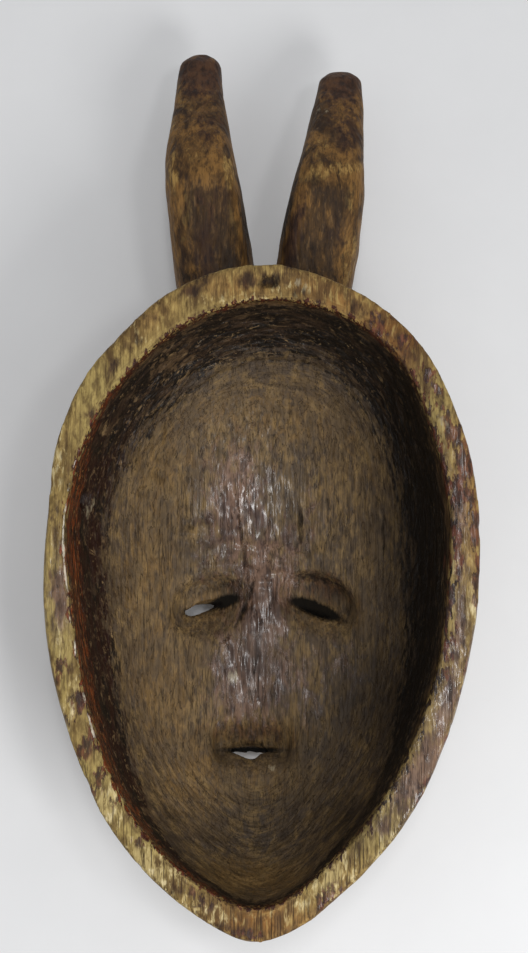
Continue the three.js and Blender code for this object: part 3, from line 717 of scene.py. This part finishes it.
class Graph:
    """Short calls that add nodes to a material."""

    def __init__(self, name):
        self.material = bpy.data.materials.new(name)
        self.material.use_nodes = True
        self.nodes = self.material.node_tree.nodes
        self.links = self.material.node_tree.links
        self.nodes.clear()

    def plug(self, value, socket):
        if isinstance(value, bpy.types.NodeSocket):
            self.links.new(value, socket)
        else:
            socket.default_value = value

    def maths(self, operation, a, b=0.0, c=0.0):
        node = self.nodes.new("ShaderNodeMath")
        node.operation = operation
        for value, socket in zip((a, b, c), node.inputs):
            self.plug(value, socket)
        return node.outputs[0]

    def add(self, a, b):
        return self.maths("ADD", a, b)

    def times(self, a, b):
        return self.maths("MULTIPLY", a, b)

    def mean(self, a, b):
        return self.times(self.add(a, b), 0.5)

    def most(self, a, b):
        return self.maths("MAXIMUM", a, b)

    def without(self, a, b):
        """a where b isn't."""
        return self.times(a, self.maths("SUBTRACT", 1.0, b))

    def step(self, value, low, high):
        node = self.nodes.new("ShaderNodeMapRange")
        node.interpolation_type = "SMOOTHSTEP"
        node.clamp = True
        self.plug(value, node.inputs["Value"])
        node.inputs["From Min"].default_value = low
        node.inputs["From Max"].default_value = high
        return node.outputs["Result"]

    def mix(self, share, a, b):
        node = self.nodes.new("ShaderNodeMix")
        node.data_type = "RGBA"
        node.clamp_factor = True
        self.plug(share, node.inputs[0])
        self.plug(a, node.inputs[6])
        self.plug(b, node.inputs[7])
        return node.outputs[2]

    def blend(self, share, a, b):
        node = self.nodes.new("ShaderNodeMix")
        node.data_type = "FLOAT"
        node.clamp_factor = True
        self.plug(share, node.inputs[0])
        self.plug(a, node.inputs[2])
        self.plug(b, node.inputs[3])
        return node.outputs[0]

    def attribute(self, name, output="Fac"):
        node = self.nodes.new("ShaderNodeAttribute")
        node.attribute_name = name
        return node.outputs[output]

    def noise(self, per_mm, detail, roughness, shift=0.0, twist=0.0, place=None):
        """Noise whose features are 1 / per_mm millimetres wide along x, y, z."""
        mapping = self.nodes.new("ShaderNodeMapping")
        self.links.new(place or self.place, mapping.inputs["Vector"])
        mapping.inputs["Scale"].default_value = [v / MM for v in per_mm]
        mapping.inputs["Location"].default_value = (shift, shift * 0.7, shift * 1.3)
        node = self.nodes.new("ShaderNodeTexNoise")
        self.links.new(mapping.outputs[0], node.inputs["Vector"])
        node.inputs["Scale"].default_value = 1.0
        node.inputs["Detail"].default_value = detail
        node.inputs["Roughness"].default_value = roughness
        node.inputs["Distortion"].default_value = twist
        return node.outputs["Fac"]

    def ragged(self, strength, edge, amount, low, high):
        """A patch whose soft strength is cut to a ragged border by a noise."""
        shifted = self.maths("MULTIPLY_ADD", self.add(edge, -0.5), amount, strength)
        return self.times(self.step(shifted, low, high), self.step(strength, 0.03, 0.3))

    def layered(self, tone, layers):
        """A tone with layers over it, each given as where it is, how strong and in what tone."""
        for where, strength, layer_tone in layers:
            tone = self.mix(self.times(where, strength), tone, layer_tone)
        return tone

    def shader(self, tone, roughness):
        """The material's principled shader, joined to its output."""
        shader = self.nodes.new("ShaderNodeBsdfPrincipled")
        self.plug(tone, shader.inputs["Base Color"])
        self.plug(roughness, shader.inputs["Roughness"])
        output = self.nodes.new("ShaderNodeOutputMaterial")
        self.links.new(shader.outputs[0], output.inputs["Surface"])
        return shader


class Wood(Graph):
    """The zones of the carving and the noises that all finishes of its wood are made with."""

    def __init__(self, name):
        super().__init__(name)
        self.place = self.nodes.new("ShaderNodeTexCoord").outputs["Object"]
        self.zones = {zone: self.attribute(zone) for zone in ZONE_NAMES}
        self.ring = self.attribute("ring", "Vector")
        self.grain = self.noise((0.5, 0.16, 0.5), 5, 0.62, 7.7, 0.4)
        self.hewn = self.noise((0.1, 0.1, 0.5), 5, 0.62, 9.1, 0.4, self.ring)
        self.mottle = self.noise((0.2, 0.1, 0.2), 6, 0.62, 27.3, 0.5)
        self.smudge = self.noise((0.1, 0.045, 0.1), 5, 0.58, 17.9, 0.8)
        self.edge = self.noise((0.42, 0.12, 0.42), 6, 0.66, 12.3)
        self.fleck = self.noise((0.7, 0.15, 0.7), 4, 0.56, 21.7)
        self.hewn_fleck = self.noise((0.17, 0.17, 0.44), 6, 0.64, 23.7, 0.9, self.ring)
        self.both = self.mean(self.edge, self.mottle)
        self.lively = self.step(self.smudge, 0.60, 0.42)
        self.speck = self.step(self.noise((0.8, 0.4, 0.8), 2, 0.5, 71.3), 0.60, 0.68)

        # Tool marks run along the mask in the middle of the hollow, and round it near its wall.
        lay = self.blend(self.zones["turned"], self.grain, self.hewn)
        self.furrow = self.step(lay, 0.53, 0.33)
        self.ridge = self.step(lay, 0.50, 0.68)
        spots = self.blend(self.zones["turned"], self.fleck, self.hewn_fleck)
        self.pit = self.step(spots, 0.58, 0.70)
        self.dash = self.step(spots, 0.43, 0.30)

        # Fibres and cracks, which are dark.
        fibre = self.noise((1.7, 0.07, 1.7), 3, 0.6, 3.1)
        self.line = self.step(fibre, 0.48, 0.34)
        self.open_fibre = self.times(self.line, self.zones["lines"])
        split = self.noise((0.34, 0.022, 0.34), 3, 0.55, 31.1, 0.3)
        self.crack = self.step(self.maths("ABSOLUTE", self.add(split, -0.5)), 0.011, 0.003)

        # Where the stains of the wall have reached, with a ragged border on the rim.
        frayed = self.add(self.mean(self.edge, self.fleck), -0.5)
        fray, inward = self.zones["fray"], self.zones["inward"]
        self.stained = self.step(self.maths("MULTIPLY_ADD", frayed, fray, inward), -1.1, -0.1)


def rim_tone(g):
    """Pale bare wood with dark open fibres and brown smudges."""
    ruddy = g.times(g.zones["ruddy"], 0.9)
    bare = g.ragged(g.zones["bare"], g.mean(g.edge, g.grain), 4.5, 0.3, 0.7)
    return g.layered(g.mix(ruddy, linear(162, 142, 86), linear(132, 90, 44)), [
        (g.step(g.mottle, 0.40, 0.66), 0.65, linear(100, 76, 40)),
        (g.step(g.smudge, 0.46, 0.62), 0.7, linear(82, 60, 34)),
        (g.furrow, 0.65, linear(72, 51, 26)),
        (g.ridge, 0.5, linear(190, 164, 100)),
        (bare, 0.75, g.mix(g.ridge, linear(180, 160, 108), linear(224, 208, 164))),
        (g.open_fibre, 0.85, linear(54, 37, 20)),
        (g.pit, 0.6, linear(58, 38, 20)),
    ])


def floor_tone(g):
    """Grey brown with ochre where the wood was rubbed, streaked along the fibres. Low on the chin
    wall the ochre is painted light, lighter where light falls.
    """
    mottle = g.step(g.mottle, 0.38, 0.62)
    ochre = g.ragged(g.zones["ochre"], g.both, 6.0, 0.0, 1.0)
    return g.layered(g.mix(mottle, linear(121, 98, 64), linear(84, 71, 58)), [
        (g.step(g.smudge, 0.40, 0.60), 0.62, linear(74, 61, 48)),
        (ochre, 0.7, g.mix(g.ridge, linear(126, 97, 54), linear(152, 119, 68))),
        (g.furrow, g.blend(g.lively, 0.35, 0.65), linear(44, 34, 24)),
        (g.ridge, g.blend(g.lively, 0.2, 0.5), linear(144, 116, 73)),
        (g.line, g.blend(g.lively, 0.35, 0.6), linear(42, 33, 22)),
        (g.step(g.edge, 0.50, 0.68), 0.5, linear(52, 40, 28)),
        (g.pit, 0.35, linear(36, 27, 19)),
        (g.dash, g.blend(g.lively, 0.12, 0.38), linear(158, 129, 78)),
    ])


def horn_tone(g):
    """Dark brown with ochre where the corners are rubbed."""
    across = g.zones["across"]
    corner = g.add(g.times(g.step(across, 0.6, 1.0), 0.2), g.times(g.zones["kink"], 0.15))
    rubbed = g.ragged(g.most(corner, g.zones["tan"]), g.both, 4.5, 0.2, 0.8)
    rubbed_tone = g.mix(g.step(g.grain, 0.40, 0.60), linear(104, 76, 38), linear(168, 136, 78))
    core = g.times(g.zones["shaft"], g.step(across, 0.8, 0.25))
    smudge = g.step(g.smudge, 0.38, 0.66)
    return g.layered(g.mix(smudge, linear(124, 90, 46), linear(50, 33, 18)), [
        (g.step(g.mottle, 0.48, 0.66), 0.4, linear(48, 31, 18)),
        (g.furrow, 0.5, linear(34, 22, 14)),
        (rubbed, 0.75, rubbed_tone),
        (g.ragged(core, g.both, 5.0, 0.1, 0.9), 0.7, linear(36, 25, 15)),
        (g.line, 0.5, linear(30, 20, 13)),
        (g.step(g.edge, 0.54, 0.66), 0.5, linear(34, 22, 14)),
        (g.pit, 0.5, linear(26, 17, 11)),
        (g.dash, 0.35, linear(132, 100, 58)),
    ])


def face_side_tone(g):
    """The same brown, worn pale on its ridges and dark in its hollows."""
    smudge = g.step(g.smudge, 0.32, 0.70)
    return g.layered(g.mix(smudge, linear(118, 88, 52), linear(62, 44, 28)), [
        (g.step(g.mottle, 0.42, 0.62), 0.45, linear(58, 41, 26)),
        (g.furrow, 0.6, linear(42, 29, 18)),
        (g.ridge, 0.35, linear(142, 111, 68)),
        (g.line, 0.5, linear(34, 24, 15)),
        (g.zones["worn"], 0.6, linear(162, 130, 80)),
    ])


def rust_stain(g):
    where = g.ragged(g.zones["rust"], g.both, 3.2, 0.2, 0.8)
    return where, 0.65, g.mix(g.step(g.grain, 0.4, 0.6), linear(44, 28, 20), linear(104, 68, 42))


def umber_stain(g):
    where = g.ragged(g.zones["umber"], g.both, 2.8, 0.15, 0.75)
    return where, 0.9, g.mix(g.step(g.both, 0.42, 0.60), linear(76, 50, 34), linear(38, 23, 17))


def purple_stain(g):
    """The violet brown of handled wood."""
    where = g.ragged(g.zones["purple"], g.both, 2.6, 0.2, 0.75)
    smudge = g.step(g.smudge, 0.4, 0.6)
    return where, 0.88, g.layered(g.mix(smudge, linear(120, 91, 74), linear(76, 53, 43)), [
        (g.furrow, 0.6, linear(38, 25, 21)),
        (g.ridge, 0.4, linear(146, 116, 100)),
    ])


def wall_stain(g):
    """Nearly black, with tan flecks where the tool marks are worn through, and painted shade that
    darkens it further on the unlit side.
    """
    where = g.ragged(g.zones["wall"], g.mean(g.hewn, g.edge), 4.0, 0.15, 0.7)
    tan = g.most(g.step(g.hewn_fleck, 0.54, 0.63), g.speck)
    tan = g.times(tan, g.step(g.add(g.mottle, g.times(g.smudge, 0.6)), 0.65, 0.85))
    rubbed = g.ragged(g.zones["tan"], g.mean(g.hewn_fleck, g.edge), 5.0, 0.35, 0.75)
    tan_tone = g.mix(g.ridge, linear(92, 72, 50), linear(156, 128, 88))
    hewn = g.step(g.hewn, 0.38, 0.54)
    tone = g.layered(g.mix(hewn, linear(52, 38, 27), linear(10, 7, 6)), [
        (g.zones["left"], g.times(g.step(g.smudge, 0.40, 0.56), 0.8), linear(38, 14, 8)),
        (g.step(g.edge, 0.53, 0.62), 0.4, linear(58, 44, 32)),
        (g.most(tan, rubbed), 0.85, tan_tone),
        # Painted shade: the wall on the unlit side is darkened.
        (g.zones["unlit_wall_shade"], 0.9, linear(7, 5, 4)),
    ])
    return g.times(where, g.stained), 0.96, tone


def red_band(g):
    """The red stain along the inside edge, strongest on the left."""
    where = g.times(g.ragged(g.zones["red"], g.both, 4.0, 0.2, 0.8), g.stained)
    edge = g.step(g.edge, 0.42, 0.6)
    tone = g.layered(g.mix(edge, linear(38, 14, 7), linear(76, 31, 12)), [
        (g.zones["left"], g.step(g.edge, 0.44, 0.58), linear(126, 56, 15)),
        (g.step(g.mottle, 0.46, 0.60), 0.7, linear(36, 14, 8)),
        (g.speck, 0.8, linear(176, 130, 74)),
    ])
    # On the unlit side the red band gives way to the wall's painted shade.
    return g.without(where, g.times(g.zones["unlit_wall_shade"], 0.85)), 0.9, tone


def patina_stain(g):
    """The maroon patina of the rim."""
    where = g.ragged(g.zones["patina"], g.both, 7.0, 0.28, 0.58)
    return where, 0.85, g.mix(g.step(g.grain, 0.42, 0.62), linear(40, 16, 12), linear(98, 50, 30))


def slit_and_crease_shade(g):
    """Painted shade in the depths of the slits and in the creases, and the dark of a few open
    cracks.
    """
    where = g.ragged(g.zones["dark"], g.mean(g.fleck, g.edge), 1.8, 0.15, 0.85)
    return where, 0.97, linear(6, 5, 3)


def cracks(g):
    where = g.most(g.zones["purple"], g.times(g.zones["hollow"], 0.55))
    return g.times(g.crack, where), 0.8, linear(22, 15, 11)


def pale_spots(g):
    where = g.ragged(g.zones["pale"], g.edge, 2.2, 0.35, 0.7)
    return where, 0.6, linear(160, 148, 122)


def arris_highlight(g):
    """The thin pale line on the inside edge at the left: worn wood with a painted highlight on it.
    """
    arris = g.step(g.maths("ABSOLUTE", g.add(g.zones["inward"], 0.8)), 0.9, 0.2)
    where = g.ragged(g.times(arris, g.zones["sheen"]), g.mean(g.edge, g.smudge), 9.0, 0.75, 1.25)
    return where, 0.75, linear(222, 212, 190)


def polished(g, where):
    """Where handled or stained wood has a thin glossy coat. Bare wood is dull."""
    red = g.times(g.times(where["red"], g.zones["left"]), 0.8)
    polish = g.most(g.times(where["patina"], 0.35), g.times(where["purple"], 0.55))
    polish = g.most(polish, g.most(red, where["painted_highlight"]))
    polish = g.most(polish, g.most(g.times(where["wall"], 0.1), g.zones["gloss"]))
    return g.without(polish, where["dark"])


def height_of(g, where, polish):
    """The finest relief, in millimetres: fibres, tool marks, cracks and the lumps of the stains."""
    turned = g.zones["turned"]
    strands = g.noise((0.5, 0.05, 0.5), 1, 0.5, 41.3, 0.4)
    lumps = g.noise((0.2, 0.09, 0.3), 1, 0.5, 47.9)
    hacks = g.noise((0.24, 0.24, 0.7), 2, 0.5, 57.3, 0.3, g.ring)
    height = g.times(strands, g.blend(g.most(turned, polish), 0.7, 0.35))
    height = g.add(height, g.times(lumps, g.blend(polish, 0.7, 1.6)))
    height = g.add(height, g.times(hacks, turned))
    height = g.add(height, g.times(g.open_fibre, g.blend(polish, -0.1, -0.25)))
    height = g.add(height, g.times(where["cracked"], -0.3))
    return g.without(height, where["dark"])


def wood_material():
    g = Wood("old_stained_wood")
    tone = g.mix(g.zones["horn"], face_side_tone(g), horn_tone(g))
    tone = g.mix(g.zones["hollow"], tone, floor_tone(g))
    tone = g.mix(g.zones["rim"], tone, rim_tone(g))

    # Stains over them, from the thinnest to the thickest. Among them are painted light: shade on
    # the floor, in the slits and in creases, shade on the unlit wall, and a highlight on the inside
    # edge at the left.
    stains = {
        "rust": rust_stain(g),
        "umber": umber_stain(g),
        "purple": purple_stain(g),
        # Painted shade from the shade patches.
        "shaded": (g.zones["shade"], 0.6, linear(26, 18, 11)),
        "wall": wall_stain(g),
        "red": red_band(g),
        "patina": patina_stain(g),
        # Painted shade in slits and creases, and dark open cracks.
        "dark": slit_and_crease_shade(g),
        "cracked": cracks(g),
        # Painted shade in creases, darker where the surface bends inwards.
        "crease_shade": (g.zones["crease_shade"], 0.4, linear(22, 15, 10)),
        "pale": pale_spots(g),
        # Painted highlight on the worn inside edge at the left.
        "painted_highlight": arris_highlight(g),
    }
    tone = g.layered(tone, stains.values())
    where = {name: stain[0] for name, stain in stains.items()}
    polish = polished(g, where)
    roughness = g.add(g.blend(polish, 0.6, 0.36), g.times(g.add(g.fleck, -0.5), 0.3))

    bump = g.nodes.new("ShaderNodeBump")
    bump.inputs["Distance"].default_value = MM
    bump.inputs["Strength"].default_value = 1.0
    g.links.new(height_of(g, where, polish), bump.inputs["Height"])

    shader = g.shader(tone, g.most(roughness, where["dark"]))
    g.links.new(bump.outputs["Normal"], shader.inputs["Normal"])
    shader.inputs["Specular IOR Level"].default_value = 0.2
    g.links.new(polish, shader.inputs["Coat Weight"])
    g.links.new(bump.outputs["Normal"], shader.inputs["Coat Normal"])
    shader.inputs["Coat Roughness"].default_value = 0.18
    shader.inputs["Coat IOR"].default_value = 1.45
    return g.material


def paper_material():
    """A pale matt backing sheet with the faintest mottling."""
    g = Graph("pale_backing")
    g.place = g.nodes.new("ShaderNodeTexCoord").outputs["Object"]
    mottle = g.noise((0.02, 0.02, 0.02), 4, 0.6)
    g.shader(g.mix(mottle, linear(222, 223, 225), linear(229, 230, 232)), 0.8)
    return g.material


def aim(thing, target):
    thing.rotation_euler = (Vector(target) - thing.location).to_track_quat("-Z", "Y").to_euler()


def area_light(name, place, target, side, watts, tint):
    light = bpy.data.lights.new(name, "AREA")
    light.shape = "SQUARE"
    light.size = side
    light.energy = watts
    light.color = tint
    thing = bpy.data.objects.new(name, light)
    bpy.context.scene.collection.objects.link(thing)
    thing.location = place
    aim(thing, target)


def build_mask():
    piece = remeshed(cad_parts[NODE])
    skin = piece.data
    drop_crumbs(skin)
    write_points(skin, carve(read_points(skin), read_normals(skin), read_edges(skin)))
    thin_hidden_side(piece)
    mesh = piece.data
    paint(mesh)
    mesh.materials.append(wood_material())
    mesh.polygons.foreach_set("use_smooth", np.ones(len(mesh.polygons), bool))
    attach(piece, "root")
    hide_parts(NODE)
    print("carving", len(mesh.vertices), "vertices", count_triangles(mesh), "triangles")


def build_stage():
    mesh = bpy.data.meshes.new("backing")
    h = BACKING_HALF
    corners = [(-h, -h, 0), (h, -h, 0), (h, h, 0), (-h, h, 0)]
    mesh.from_pydata(corners, [], [(0, 1, 2, 3)])
    floor = bpy.data.objects.new("backing", mesh)
    bpy.context.scene.collection.objects.link(floor)
    mesh.materials.append(paper_material())


def build_light():
    for light in LIGHTS:
        area_light(*light)
    world = bpy.data.worlds.new("room")
    world.use_nodes = True
    background = world.node_tree.nodes["Background"]
    background.inputs["Color"].default_value = (1.0, 1.0, 1.0, 1.0)
    background.inputs["Strength"].default_value = ROOM_LIGHT
    bpy.context.scene.world = world
    bpy.context.scene.view_settings.view_transform = "Standard"


def build_camera():
    data = bpy.data.cameras.new("camera")
    data.sensor_fit = "VERTICAL"
    data.sensor_height = SENSOR
    data.lens = CAMERA_FOCUS / PICTURE[1] * SENSOR
    camera = bpy.data.objects.new("camera", data)
    bpy.context.scene.collection.objects.link(camera)
    camera.location = CAMERA_PLACE
    camera.rotation_euler = (CAMERA_TILT, 0, 0)
    bpy.context.scene.camera = camera


build_mask()
build_stage()
build_light()
build_camera()
